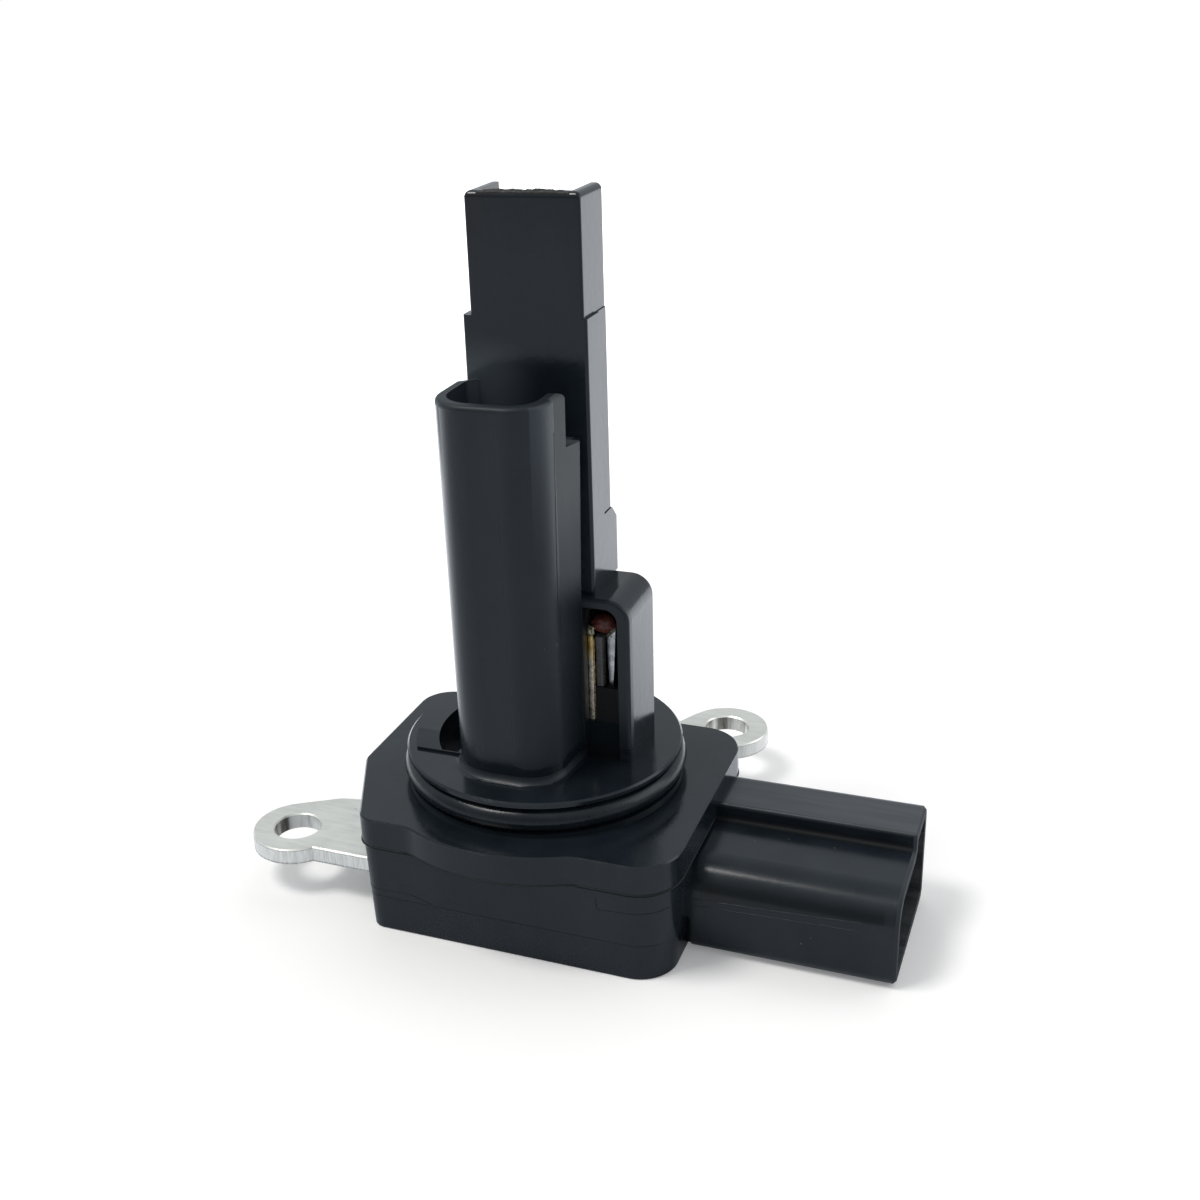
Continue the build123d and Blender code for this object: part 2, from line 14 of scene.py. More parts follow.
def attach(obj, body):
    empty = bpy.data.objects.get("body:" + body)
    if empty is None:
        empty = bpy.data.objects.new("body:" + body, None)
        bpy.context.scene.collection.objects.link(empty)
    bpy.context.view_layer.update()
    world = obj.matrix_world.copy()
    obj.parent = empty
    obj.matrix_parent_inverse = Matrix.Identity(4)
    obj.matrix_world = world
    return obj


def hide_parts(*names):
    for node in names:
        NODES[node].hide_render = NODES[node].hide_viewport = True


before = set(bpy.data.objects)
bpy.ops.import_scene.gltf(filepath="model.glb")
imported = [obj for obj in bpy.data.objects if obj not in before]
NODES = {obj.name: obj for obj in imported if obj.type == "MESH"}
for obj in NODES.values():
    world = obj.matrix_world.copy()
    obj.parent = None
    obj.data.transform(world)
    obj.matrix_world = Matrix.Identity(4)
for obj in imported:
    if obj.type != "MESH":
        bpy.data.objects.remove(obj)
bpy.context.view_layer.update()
MM = 0.001

# Places on the solids, in millimetres, that the looks and the fine pieces are set out from.
COVER_TOP, CASE_TOP, SPIGOT_TOP = 4.1, 10.2, 17.2
COLUMN_FRONT, TIP_TOP = -2.2, 73.8
TUBE_LEFT, TUBE_RIGHT, TUBE_FRONT, TUBE_TOP = -6.3, 6.42, -11.3, 56.1
TUBE_WALL, TUBE_FLARE_Y = 1.1, -3.4
PLUG_FRONT, PLUG_BACK, PLUG_BOTTOM, PLUG_TOP = -9.2, 7.8, 0.15, 9.8
PLUG_END, PLUG_WALL, SOCKET_FLOOR = 38.95, 1.3, 22.5
RIB_FRONT, RIB_TOP = 0.8, 11.6
PLATE_BOTTOM, PLATE_TOP = 4.1, 5.9
EAR_LEFT, EAR_BACK, EAR_HOLE_R = (-26.4, -8.75), (12.5, 27.7), 2.55
RING_MAJOR_R, RING_SECTION_R, RING_Z, GROOVE_R = 13.75, 1.25, 15.05, 12.55
BEAD_AT = Vector((7.42, -0.9, 31.25))
PEDESTAL_TOP, WINDOW_TOP = 20.8, 33.9


# ---------------------------------------------------------------- node helpers
class Graph:
    """A node tree of a material or a world, with short calls for the nodes used here."""

    def __init__(self, owner):
        self.owner = owner
        self.owner.use_nodes = True
        self.tree = self.owner.node_tree
        self.bsdf = self.tree.nodes.get("Principled BSDF")
        self.coord = self.node("ShaderNodeTexCoord").outputs["Object"]
        self.places = {}

    def link(self, value, socket):
        if isinstance(value, bpy.types.NodeSocket):
            self.tree.links.new(value, socket)
        elif value is not None:
            socket.default_value = value

    def node(self, kind, **inputs):
        node = self.tree.nodes.new(kind)
        for name, value in inputs.items():
            self.link(value, node.inputs[name])
        return node

    def set(self, **values):
        for name, value in values.items():
            self.link(value, self.bsdf.inputs[name.replace("_", " ")])

    def math(self, op, a, b=None, c=None, clamp=False):
        node = self.node("ShaderNodeMath")
        node.operation = op
        node.use_clamp = clamp
        for value, socket in zip((a, b, c), node.inputs):
            self.link(value, socket)
        return node.outputs[0]

    def placed(self, seed, stretch=(1.0, 1.0, 1.0)):
        """The object's own coordinates, shifted by a seed."""
        shift = (seed, seed * 0.7, seed * 1.3)
        return self.node("ShaderNodeMapping", Vector=self.coord, Location=shift, Scale=stretch).outputs[0]

    def noise(self, scale, detail=3.0, rough=0.55, stretch=(1.0, 1.0, 1.0), seed=0.0, distortion=0.0):
        node = self.node("ShaderNodeTexNoise", Vector=self.placed(seed, stretch), Scale=scale,
                         Detail=detail, Roughness=rough, Distortion=distortion)
        return node.outputs["Fac"]

    def cells(self, scale, seed=0.0, feature="F1"):
        node = self.node("ShaderNodeTexVoronoi")
        node.feature = feature
        self.link(self.placed(seed), node.inputs["Vector"])
        self.link(scale, node.inputs["Scale"])
        return node.outputs["Distance"]

    def ramp(self, fac, lo, hi, to_lo=0.0, to_hi=1.0):
        node = self.node("ShaderNodeMapRange")
        node.interpolation_type = "SMOOTHSTEP"
        for name, value in (("Value", fac), ("From Min", lo), ("From Max", hi),
                            ("To Min", to_lo), ("To Max", to_hi)):
            self.link(value, node.inputs[name])
        return node.outputs["Result"]

    def mix(self, fac, a, b):
        node = self.node("ShaderNodeMix")
        node.data_type = "RGBA"
        self.link(fac, node.inputs[0])
        for value, socket in ((a, node.inputs[6]), (b, node.inputs[7])):
            self.link((*value, 1.0) if isinstance(value, tuple) else value, socket)
        return node.outputs[2]

    def axis(self, which, source=None):
        split = self.node("ShaderNodeSeparateXYZ", Vector=source or self.coord)
        return split.outputs[which]

    def mm(self, letter):
        """A point's place along an axis, in millimetres."""
        if letter not in self.places:
            self.places[letter] = self.math("DIVIDE", self.axis("xyz".index(letter)), MM)
        return self.places[letter]

    def facing(self, which):
        normal = self.node("ShaderNodeNewGeometry").outputs["Normal"]
        return self.math("ABSOLUTE", self.axis(which, normal))

    def region(self, **sides):
        """1 in a box with soft sides: x=(low step, high step), each step (from, to) or None."""
        mask = None
        for letter, (low, high) in sides.items():
            for step, ends in ((low, (0.0, 1.0)), (high, (1.0, 0.0))):
                if step:
                    side = self.ramp(self.mm(letter), *step, *ends)
                    mask = side if mask is None else self.math("MULTIPLY", mask, side)
        return mask

    def at_least(self, spread, mask, rough):
        """Roughness raised to a value where a mask is 1."""
        return self.math("MAXIMUM", spread, self.math("MULTIPLY", mask, rough))

    def bump(self, *layers):
        """Layers of (height, strength, distance), each laid over the one before."""
        normal = None
        for height, strength, distance in layers:
            normal = self.node("ShaderNodeBump", Height=height, Strength=strength, Distance=distance,
                               Normal=normal).outputs[0]
        self.link(normal, self.bsdf.inputs["Normal"])


def step(place, start, end):
    """A soft step beside a place on the part."""
    return place + start, place + end


def material(name):
    return Graph(bpy.data.materials.new(name))


# ---------------------------------------------------------------- materials
def moulded_plastic(name, dark, light, rough, seed=0.0, grain=1.0, local=None):
    """Glass-filled black nylon: fine grain, faint flow clouds, a few dust specks."""
    g = material(name)
    clouds = g.noise(90.0, 4.0, 0.6, seed=seed, distortion=0.4)
    flow = g.noise(260.0, 3.0, 0.5, stretch=(1.0, 1.0, 0.18), seed=seed + 2.0)
    fine = g.noise(5200.0, 3.0, 0.65, seed=seed + 5.0)
    peel = g.noise(900.0, 2.0, 0.5, seed=seed + 7.0)
    tint = g.math("MULTIPLY_ADD", flow, 0.45, g.math("MULTIPLY", clouds, 0.55))
    body = g.mix(g.ramp(tint, 0.34, 0.66), dark, light)
    specks = g.ramp(g.cells(620.0, seed + 1.0), 0.05, 0.09, 1.0, 0.0)
    thin = g.ramp(g.noise(140.0, 2.0, 0.5, seed=seed + 11.0), 0.62, 0.72)
    dust = g.math("MULTIPLY", g.math("MULTIPLY", specks, thin), 0.35)
    body = g.mix(dust, body, (0.16, 0.15, 0.13))
    spread = g.math("MULTIPLY_ADD", g.ramp(clouds, 0.3, 0.7), 0.09, rough - 0.045)
    spread = g.math("MULTIPLY_ADD", g.ramp(fine, 0.35, 0.7), 0.09 * grain, spread)
    if local:
        body, spread = local(g, body, spread)
    g.set(Base_Color=body, Roughness=spread, IOR=1.39)
    g.bump((peel, 0.10 * grain, 0.00012), (fine, 0.22 * grain, 0.00003))
    return g.owner


def connector_detail(g, body, spread):
    """Painted light on the socket walls, a matt mouth rim, a matt rib with painted light on its top, painted
    shade at the rib's foot, and a painted dark reflection in a band over the parting line.
    """
    streak = g.noise(700.0, 3.0, 0.6, stretch=(0.1, 1.0, 1.0), seed=31.0)
    socket = g.region(
        x=(step(SOCKET_FLOOR, -0.1, 0.1), None),
        y=(step(PLUG_FRONT + PLUG_WALL, -0.1, 0.0), step(PLUG_BACK - PLUG_WALL, 0.02, 0.1)),
        z=(step(PLUG_BOTTOM + PLUG_WALL, -0.07, -0.01), step(PLUG_TOP - PLUG_WALL, 0.05, 0.1)))
    rim = g.region(x=(step(PLUG_END, -0.4, -0.25), None))
    rib = g.region(x=((19.0, 19.6), None), z=(step(RIB_TOP, -0.3, -0.05), None))
    rib_foot = g.region(
        x=((18.7, 18.8), None), y=(step(RIB_FRONT, -0.7, -0.4), step(RIB_FRONT, 0.0, 0.1)),
        z=(step(PLUG_TOP, -0.1, -0.02), step(PLUG_TOP, 0.4, 0.7)))

    # the parting line climbs a little towards the mouth
    line_slope, line_foot = 0.045, 5.45
    line = g.math("MULTIPLY_ADD", g.mm("x"), line_slope, line_foot)
    above = g.ramp(g.math("SUBTRACT", g.mm("z"), line), -0.05, 0.05)
    side = g.region(x=((19.0, 20.0), step(PLUG_END, -1.55, -1.15)), y=(None, step(PLUG_FRONT, 0.6, 1.6)),
                    z=(None, (7.6, 8.9)))
    band = g.math("MULTIPLY", above, side)

    # painted light on the rib's top, streaked
    painted_rib_light = g.mix(g.ramp(streak, 0.3, 0.7), (0.036, 0.041, 0.047), (0.052, 0.058, 0.066))
    # painted light on the socket walls, streaked
    painted_socket_light = g.mix(g.ramp(streak, 0.35, 0.65), (0.020, 0.023, 0.026), (0.050, 0.055, 0.060))
    body = g.mix(rib, body, painted_rib_light)
    # painted dark reflection in the band over the parting line
    body = g.mix(g.math("MULTIPLY", band, 0.75), body, (0.003, 0.004, 0.005))
    # painted shade in the crease at the rib's foot
    body = g.mix(rib_foot, body, (0.004, 0.005, 0.006))
    body = g.mix(socket, body, painted_socket_light)
    for mask, rough in ((rib_foot, 0.7), (socket, 0.55), (rim, 0.62), (rib, 0.36)):
        spread = g.at_least(spread, mask, rough)
    return body, spread


def housing_detail(g, body, spread):
    """Warmer tip, eroded outside of the bypass tube, painted light in and behind its mouth, and a painted light
    patch on its right wall.
    """
    warm = g.ramp(g.noise(70.0, 3.0, 0.5, seed=13.0), 0.35, 0.65)
    warm = g.math("MULTIPLY", g.region(z=((60.0, 72.0), None)), warm)
    tube_back = step(TUBE_FLARE_Y, -0.1, 0.5)
    bore = g.region(
        x=(step(TUBE_LEFT + TUBE_WALL, -0.15, -0.05), step(TUBE_RIGHT - TUBE_WALL, -0.02, 0.08)),
        y=(step(TUBE_FRONT + TUBE_WALL, -0.05, 0.05), step(COLUMN_FRONT, -0.1, -0.05)),
        z=((40.0, 55.9), step(TUBE_TOP, -0.15, -0.1)))
    tube = g.region(x=(None, step(TUBE_RIGHT, 0.18, 0.38)), y=(None, tube_back),
                    z=(step(SPIGOT_TOP, 1.2, 2.2), None))
    corner = g.math("MULTIPLY", tube, g.region(x=((-0.5, 2.4), None)))
    rim = g.region(y=(None, tube_back), z=(step(TUBE_TOP, -0.75, -0.5), step(TUBE_TOP, 0.1, 0.3)))
    # painted light on the column's face above the mouth, thickest on the left
    painted_back_wall_light = g.region(x=(None, (-3.4, 2.8)), y=(step(COLUMN_FRONT, -1.1, -0.7), step(COLUMN_FRONT, 0.1, 0.2)),
                    z=((50.0, 54.0), (56.2, 61.0)))
    side = g.region(x=((4.75, 4.9), step(TUBE_RIGHT, 0.13, 0.18)),
                    y=((-7.57, -7.07), step(TUBE_FLARE_Y, 0.2, 0.5)), z=((39.0, 48.0), None))
    # the wall that faces the blades, and the fillet at the tube's foot
    wall = g.region(x=((4.6, 5.0), None), y=((-7.0, -6.0), step(COLUMN_FRONT, -0.1, 0.0)),
                    z=(step(SPIGOT_TOP, 0.8, 1.8), (34.0, 37.0)))
    foot = g.region(y=(None, step(TUBE_FLARE_Y, 0.0, 0.4)),
                    z=(step(SPIGOT_TOP, 0.08, 0.16), step(SPIGOT_TOP, 0.7, 0.9)))

    body = g.mix(g.math("MULTIPLY", warm, 0.7), body, (0.0135, 0.0115, 0.0130))
    # painted light inside the tube's bore
    body = g.mix(bore, body, (0.024, 0.033, 0.043))
    # painted light on the column's face at the mouth
    body = g.mix(painted_back_wall_light, body, (0.050, 0.062, 0.074))
    # painted light on the tube's right wall
    body = g.mix(side, body, (0.050, 0.056, 0.061))
    for mask, rough in ((tube, 0.23), (corner, 0.48), (rim, 0.5), (wall, 0.34), (foot, 0.5), (bore, 0.5)):
        spread = g.at_least(spread, mask, rough)
    return body, spread


def seal_rubber():
    """Matt black rubber with a dust-like bloom."""
    g = material("seal_rubber")
    bloom = g.noise(240.0, 4.0, 0.6, seed=3.0)
    fine = g.noise(4200.0, 3.0, 0.6)
    g.set(Base_Color=g.mix(g.ramp(bloom, 0.4, 0.72), (0.005, 0.008, 0.011), (0.010, 0.014, 0.018)),
          Roughness=g.ramp(bloom, 0.3, 0.7, 0.18, 0.3), IOR=1.38)
    g.bump((fine, 0.3, 0.00004))
    return g.owner


def from_centre(g, centre):
    """How far a point is from an upright axis, along X and across, in millimetres."""
    dx, dy = g.math("SUBTRACT", g.mm("x"), centre[0]), g.math("SUBTRACT", g.mm("y"), centre[1])
    squares = g.math("ADD", g.math("MULTIPLY", dx, dx), g.math("MULTIPLY", dy, dy))
    return dx, g.math("SQRT", squares)


def plated_steel():
    """Zinc plated sheet: rolled grain on the faces, fine sheared streaks on the edges."""
    g = material("plated_steel")
    rolled = g.noise(1500.0, 4.0, 0.6, stretch=(0.15, 1.0, 1.0))
    blotch = g.noise(160.0, 5.0, 0.65, seed=4.0, distortion=0.6)
    dents = g.noise(1100.0, 2.0, 0.5, seed=9.0)
    streak = g.noise(4200.0, 4.0, 0.7, stretch=(1.0, 1.0, 0.10), seed=6.0)
    grit = g.noise(3800.0, 4.0, 0.7, seed=16.0)
    broad = g.noise(900.0, 3.0, 0.6, stretch=(1.0, 1.0, 0.1), seed=26.0)
    flat = g.ramp(g.facing(2), 0.35, 0.6)

    # sheared edges, with a burr line under the top edge and a torn line along the foot
    side = g.mix(g.ramp(streak, 0.3, 0.62), (0.74, 0.72, 0.67), (0.97, 0.95, 0.89))
    torn = g.region(z=(None, step(PLATE_BOTTOM, 0.1, 0.26)))
    burr = g.region(z=(step(PLATE_TOP, -0.28, -0.22), step(PLATE_TOP, -0.20, -0.14)))
    lines = g.math("ADD", torn, burr, clamp=True)
    side = g.mix(g.math("MULTIPLY", lines, g.ramp(grit, 0.3, 0.6, 0.1, 0.75)), side, (0.22, 0.21, 0.19))

    # painted shade: the far ear's sides are darker, and so are both bores, the near one less so on its right
    left_dx, left_r = from_centre(g, EAR_LEFT)
    back_r = from_centre(g, EAR_BACK)[1]
    bore_edge = step(EAR_HOLE_R, 0.2, 0.4)
    left_bore, back_bore = (g.ramp(r, *bore_edge, 1.0, 0.0) for r in (left_r, back_r))
    right_side = g.math("MULTIPLY", g.ramp(left_dx, -1.6, 1.0), left_bore)
    shade = g.ramp(g.math("MULTIPLY_ADD", right_side, 0.22, broad), 0.36, 0.64)
    # painted shade on the far ear's sides
    side = g.mix(g.math("MULTIPLY", g.region(y=((10.0, 14.0), None)), 0.45), side, (0.44, 0.43, 0.40))
    side = g.mix(g.math("ADD", left_bore, back_bore, clamp=True), side,
                 g.mix(shade, (0.15, 0.14, 0.12), (0.74, 0.73, 0.68)))

    tone = g.math("MULTIPLY_ADD", rolled, 0.5, g.math("MULTIPLY", blotch, 0.5))
    face = g.mix(g.ramp(tone, 0.32, 0.62), (0.74, 0.725, 0.67), (0.88, 0.86, 0.80))
    stain = g.ramp(g.noise(1300.0, 5.0, 0.7, seed=15.0), 0.66, 0.74)
    face = g.mix(g.math("MULTIPLY", stain, 0.6), face, (0.36, 0.33, 0.28))
    g.set(Base_Color=g.mix(flat, side, face), Metallic=1.0,
          Roughness=g.math("MULTIPLY_ADD", g.ramp(blotch, 0.3, 0.7), 0.16, 0.3))
    on_side = g.math("MULTIPLY", streak, g.math("SUBTRACT", 1.0, flat))
    g.bump((rolled, 0.12, 0.00004), (dents, 0.10, 0.00012), (grit, 0.15, 0.00003), (on_side, 0.3, 0.00004))
    return g.owner


def tinned_blade():
    """Tin over brass: speckled cream faces, and the brass showing near the top."""
    g = material("tinned_blade")
    speck = g.noise(5200.0, 5.0, 0.75)
    patch = g.noise(1300.0, 4.0, 0.65, seed=2.0)
    tone = g.math("MULTIPLY_ADD", speck, 0.7, g.math("MULTIPLY", patch, 0.3))
    tin = g.mix(g.ramp(tone, 0.36, 0.6), (0.30, 0.24, 0.15), (0.86, 0.80, 0.68))
    gold = g.mix(g.ramp(patch, 0.3, 0.7), (0.42, 0.27, 0.07), (0.80, 0.60, 0.24))
    bare = g.ramp(g.math("MULTIPLY_ADD", patch, 3.0, g.mm("z")), 28.4, 30.6)
    g.set(Base_Color=g.mix(bare, tin, gold), Metallic=1.0,
          Roughness=g.ramp(speck, 0.3, 0.7, 0.28, 0.5))
    g.bump((speck, 0.35, 0.00005), (patch, 0.25, 0.0001))
    return g.owner


def brass_edge():
    """Bare brass along a sheared burr."""
    g = material("brass_edge")
    patch = g.noise(1600.0, 4.0, 0.65, seed=5.0)
    g.set(Base_Color=g.mix(g.ramp(patch, 0.3, 0.7), (0.30, 0.17, 0.05), (0.86, 0.66, 0.34)),
          Metallic=1.0, Roughness=g.ramp(patch, 0.3, 0.7, 0.22, 0.4))
    g.bump((patch, 0.3, 0.00006))
    return g.owner


def silver_blade():
    """Greyer tin, with streaks up the strip."""
    g = material("silver_blade")
    patch = g.noise(1500.0, 4.0, 0.65, seed=8.0)
    streak = g.noise(2600.0, 3.0, 0.6, stretch=(1.0, 1.0, 0.08))
    g.set(Base_Color=g.mix(g.ramp(patch, 0.35, 0.65), (0.32, 0.325, 0.33), (0.56, 0.565, 0.57)),
          Metallic=1.0, Roughness=g.ramp(streak, 0.3, 0.7, 0.2, 0.36))
    g.bump((streak, 0.3, 0.00006))
    return g.owner


def bead_epoxy():
    """Dark red-brown epoxy dip over the bead, glossy, browner low down."""
    g = material("bead_epoxy")
    swirl = g.noise(1400.0, 4.0, 0.6, distortion=1.2)
    body = g.mix(g.ramp(swirl, 0.32, 0.68), (0.050, 0.012, 0.010), (0.135, 0.040, 0.030))
    low = g.ramp(g.math("MULTIPLY_ADD", swirl, 0.8, g.mm("z")), 30.6, 31.4, 0.75, 0.0)
    g.set(Base_Color=g.mix(low, body, (0.05, 0.022, 0.012)), IOR=1.52,
          Roughness=g.ramp(swirl, 0.3, 0.7, 0.30, 0.45))
    g.bump((g.noise(2600.0, 3.0, 0.6, seed=3.0), 0.25, 0.0001))
    return g.owner


def solder():
    """Flux-stained solder."""
    g = material("solder")
    blot = g.noise(2600.0, 4.0, 0.65)
    g.set(Base_Color=g.mix(g.ramp(blot, 0.4, 0.62), (0.10, 0.085, 0.045), (0.52, 0.48, 0.36)),
          Metallic=g.ramp(blot, 0.35, 0.6, 0.25, 0.95),
          Roughness=g.ramp(blot, 0.3, 0.7, 0.42, 0.24))
    g.bump((blot, 0.4, 0.00008))
    return g.owner


def plated_pin():
    """Tin-plated brass pin, drawn along its length, the brass wiped bare near its tip."""
    g = material("plated_pin")
    drawn = g.noise(3200.0, 3.0, 0.6, stretch=(0.05, 1.0, 1.0))
    wipe = g.region(x=((28.6, 31.0), None))
    tin = g.mix(g.ramp(drawn, 0.3, 0.7), (0.62, 0.61, 0.56), (0.82, 0.81, 0.77))
    bare = g.math("MULTIPLY", wipe, g.ramp(drawn, 0.4, 0.6))
    g.set(Base_Color=g.mix(bare, tin, (0.72, 0.60, 0.34)), Metallic=1.0,
          Roughness=g.ramp(drawn, 0.3, 0.7, 0.22, 0.38))
    g.bump((drawn, 0.3, 0.00005))
    return g.owner


def plain_solid(name, dark, light, rough, scale, metallic=0.0, ior=1.5, stretch=(1.0, 1.0, 1.0)):
    """A small solid with two-tone noise, for what is inside the case."""
    g = material(name)
    tone = g.noise(scale, 4.0, 0.6, stretch=stretch)
    g.set(Base_Color=g.mix(g.ramp(tone, 0.34, 0.66), dark, light), Metallic=metallic, IOR=ior,
          Roughness=g.ramp(tone, 0.3, 0.7, rough - 0.06, rough + 0.08))
    g.bump((g.noise(scale * 3.0, 3.0, 0.6, seed=4.0), 0.2, 0.00005))
    return g.owner


def board_laminate():
    """Green mask over glass cloth, with copper runs just showing through."""
    g = material("board_laminate")
    threads = 9000.0
    warp, weft = (g.math("SINE", g.math("MULTIPLY", g.axis(k), threads)) for k in (0, 1))
    weave = g.math("MULTIPLY", warp, weft)
    runs = g.ramp(g.cells(420.0, 2.0, "DISTANCE_TO_EDGE"), 0.05, 0.09, 1.0, 0.0)
    mask = g.mix(g.ramp(weave, -0.6, 0.6), (0.010, 0.070, 0.030), (0.014, 0.090, 0.040))
    g.set(Base_Color=g.mix(runs, mask, (0.06, 0.19, 0.07)), Roughness=g.ramp(weave, -1, 1, 0.3, 0.4))
    g.bump((runs, 0.3, 0.00004), (weave, 0.1, 0.00002))
    return g.owner


INK, SLATE = (0.0066, 0.0100, 0.0138), (0.0105, 0.0155, 0.0205)
HOUSING = moulded_plastic("housing_plastic", INK, SLATE, 0.11, local=housing_detail)
CASE = moulded_plastic("case_plastic", INK, SLATE, 0.20, seed=21.0, grain=0.4, local=connector_detail)
COVER = moulded_plastic("cover_plastic", INK, SLATE, 0.25, seed=37.0, grain=0.4)
BACK_SHELL = moulded_plastic("back_shell_plastic", INK, SLATE, 0.15, seed=53.0)
# near-black for seam lines and joints, also used as painted shade in the flange joint and the connector web
SEAM_AND_SHADE = moulded_plastic("seam_and_shade", (0.0020, 0.0025, 0.0030), (0.0040, 0.0050, 0.0060), 0.55, seed=87.0)
RIDGE = moulded_plastic("mould_ridge", (0.012, 0.016, 0.020), (0.022, 0.027, 0.033), 0.3, seed=91.0)
FRACTURE = moulded_plastic("broken_edge", (0.010, 0.010, 0.011), (0.034, 0.031, 0.031), 0.5, seed=95.0,
                           grain=2.0)
POST = moulded_plastic("post_plastic", (0.070, 0.072, 0.074), (0.120, 0.122, 0.124), 0.26, seed=71.0)
JAMB = moulded_plastic("jamb_plastic", (0.018, 0.017, 0.015), (0.045, 0.042, 0.036), 0.5, seed=75.0)
RUBBER = seal_rubber()
STEEL = plated_steel()
TIN = tinned_blade()
BRASS = brass_edge()
SILVER = silver_blade()
BEAD = bead_epoxy()
SOLDER = solder()
PIN = plated_pin()
SEALANT = plain_solid("sealant", (0.010, 0.010, 0.011), (0.030, 0.030, 0.031), 0.4, 700.0)
BOARD = board_laminate()
CHIP = plain_solid("chip_epoxy", (0.012, 0.012, 0.013), (0.030, 0.030, 0.032), 0.5, 2600.0)
CERAMIC = plain_solid("chip_ceramic", (0.42, 0.33, 0.22), (0.60, 0.50, 0.36), 0.42, 2200.0)
RESISTOR = plain_solid("resistor_glaze", (0.02, 0.02, 0.022), (0.05, 0.05, 0.055), 0.3, 2200.0)
GEL = plain_solid("silicone_gel", (0.30, 0.31, 0.29), (0.42, 0.43, 0.40), 0.12, 260.0, ior=1.41)
GLAZE = plain_solid("element_glaze", (0.55, 0.56, 0.53), (0.78, 0.79, 0.76), 0.16, 1800.0)
POST_STEEL = plain_solid("post_steel", (0.42, 0.42, 0.42), (0.66, 0.66, 0.65), 0.28, 2600.0,
                         metallic=1.0, stretch=(1.0, 1.0, 0.1))


def paint(mat, *names):
    for name in names:
        for slot in NODES[name].material_slots:
            slot.material = mat


def numbered(name, count):
    return [f"{name}_{i + 1}" for i in range(count)]


paint(HOUSING, "sensor_housing")
paint(CASE, "connector_case")
paint(COVER, "circuit_cover")
paint(BACK_SHELL, "bypass_cover")
paint(STEEL, "mounting_bracket")
paint(SEALANT, "cover_sealant")
paint(PIN, *numbered("terminal", 5))
paint(POST, "thermistor_post")
paint(BOARD, "circuit_board")
paint(CHIP, "control_chip")
paint(CERAMIC, *numbered("capacitor", 3))
paint(RESISTOR, *numbered("resistor", 3))
paint(GEL, "potting_gel")
paint(GLAZE, "heating_element", "compensation_element")
paint(POST_STEEL, *numbered("element_post", 4))


# ---------------------------------------------------------------- mesh helpers
def piece(name, bm, mat, smooth=True, instead_of=None):
    """Turns a bmesh in millimetres into a piece that rides on the body."""
    bmesh.ops.scale(bm, vec=(MM, MM, MM), verts=bm.verts)
    bmesh.ops.recalc_face_normals(bm, faces=bm.faces)
    mesh = bpy.data.meshes.new(name)
    bm.to_mesh(mesh)
    bm.free()
    for poly in mesh.polygons:
        poly.use_smooth = smooth
    mesh.materials.append(mat)
    obj = bpy.data.objects.new(name, mesh)
    bpy.context.scene.collection.objects.link(obj)
    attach(obj, "root")
    if instead_of:
        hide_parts(instead_of)


def skin(bm, rings, closed_rings=True, closed_path=False):
    """Quads between successive rings of vertices."""
    pairs = list(zip(rings, rings[1:]))
    if closed_path:
        pairs.append((rings[-1], rings[0]))
    for a, b in pairs:
        n = len(a)
        for i in range(n if closed_rings else n - 1):
            j = (i + 1) % n
            bm.faces.new((a[i], a[j], b[j], b[i]))


def tube_along(bm, points, radius, sides=8, closed=False):
    """A tube along a list of points; radius is a number or one for each point."""
    radii = radius if isinstance(radius, (list, tuple)) else [radius] * len(points)
    rings = []
    side = None
    last = len(points) - 1
    for i, p in enumerate(points):
        if closed:
            ahead = (points[(i + 1) % len(points)] - points[i - 1]).normalized()
        else:
            ahead = (points[min(i + 1, last)] - points[max(i - 1, 0)]).normalized()
        if side is None:
            side = ahead.orthogonal().normalized()
        side = (side - ahead * side.dot(ahead)).normalized()
        up = ahead.cross(side)
        rings.append([
            bm.verts.new(p + radii[i] * (math.cos(a) * side + math.sin(a) * up))
            for a in (2 * math.pi * k / sides for k in range(sides))
        ])
    skin(bm, rings, closed_path=closed)
    if not closed:
        bm.faces.new(rings[0])
        bm.faces.new(rings[-1])


def uneven(radius, amount, points, pace):
    """A radius for each point, which swells and shrinks smoothly along the way."""
    return [radius + amount * noise.noise(p * pace) for p in points]


def lump(bm, centre, size, wobble, seed, rings, sides, shape=None):
    """A closed irregular blob: an ellipsoid moved in and out by smooth noise."""
    top = bm.verts.new(centre + Vector((0, 0, size[2])))
    bottom = bm.verts.new(centre - Vector((0, 0, size[2])))
    where = Vector((seed, seed * 2, seed * 3))
    rows = []
    for r in range(1, rings):
        polar = math.pi * r / rings
        row = []
        for s in range(sides):
            turn = 2 * math.pi * s / sides
            n = Vector((math.sin(polar) * math.cos(turn), math.sin(polar) * math.sin(turn),
                        math.cos(polar)))
            k = 1.0 + wobble * noise.noise(n * 1.7 + where)
            p = Vector((n.x * size[0], n.y * size[1], n.z * size[2])) * k
            if shape:
                p = shape(p)
            row.append(bm.verts.new(centre + p))
        rows.append(row)
    skin(bm, rows)
    for s in range(sides):
        t = (s + 1) % sides
        bm.faces.new((top, rows[0][t], rows[0][s]))
        bm.faces.new((bottom, rows[-1][s], rows[-1][t]))


def surface(name):
    """A search tree over a CAD node's faces, in millimetres."""
    mesh = NODES[name].data
    return BVHTree.FromPolygons([v.co / MM for v in mesh.vertices], [p.vertices for p in mesh.polygons])


def trace(tree, corners, aim):
    """Points on a surface under straight runs between corners, found along aim."""
    spacing, back_off, far = 0.35, 5.0, 9.0
    points = []
    for a, b in zip(corners, corners[1:]):
        count = max(1, round((b - a).length / spacing))
        for k in range(count):
            spot = tree.ray_cast(a.lerp(b, k / count) - aim * back_off, aim, far)[0]
            if spot:
                points.append(spot)
    return points


def width(points):
    return max(p.x for p in points) - min(p.x for p in points)


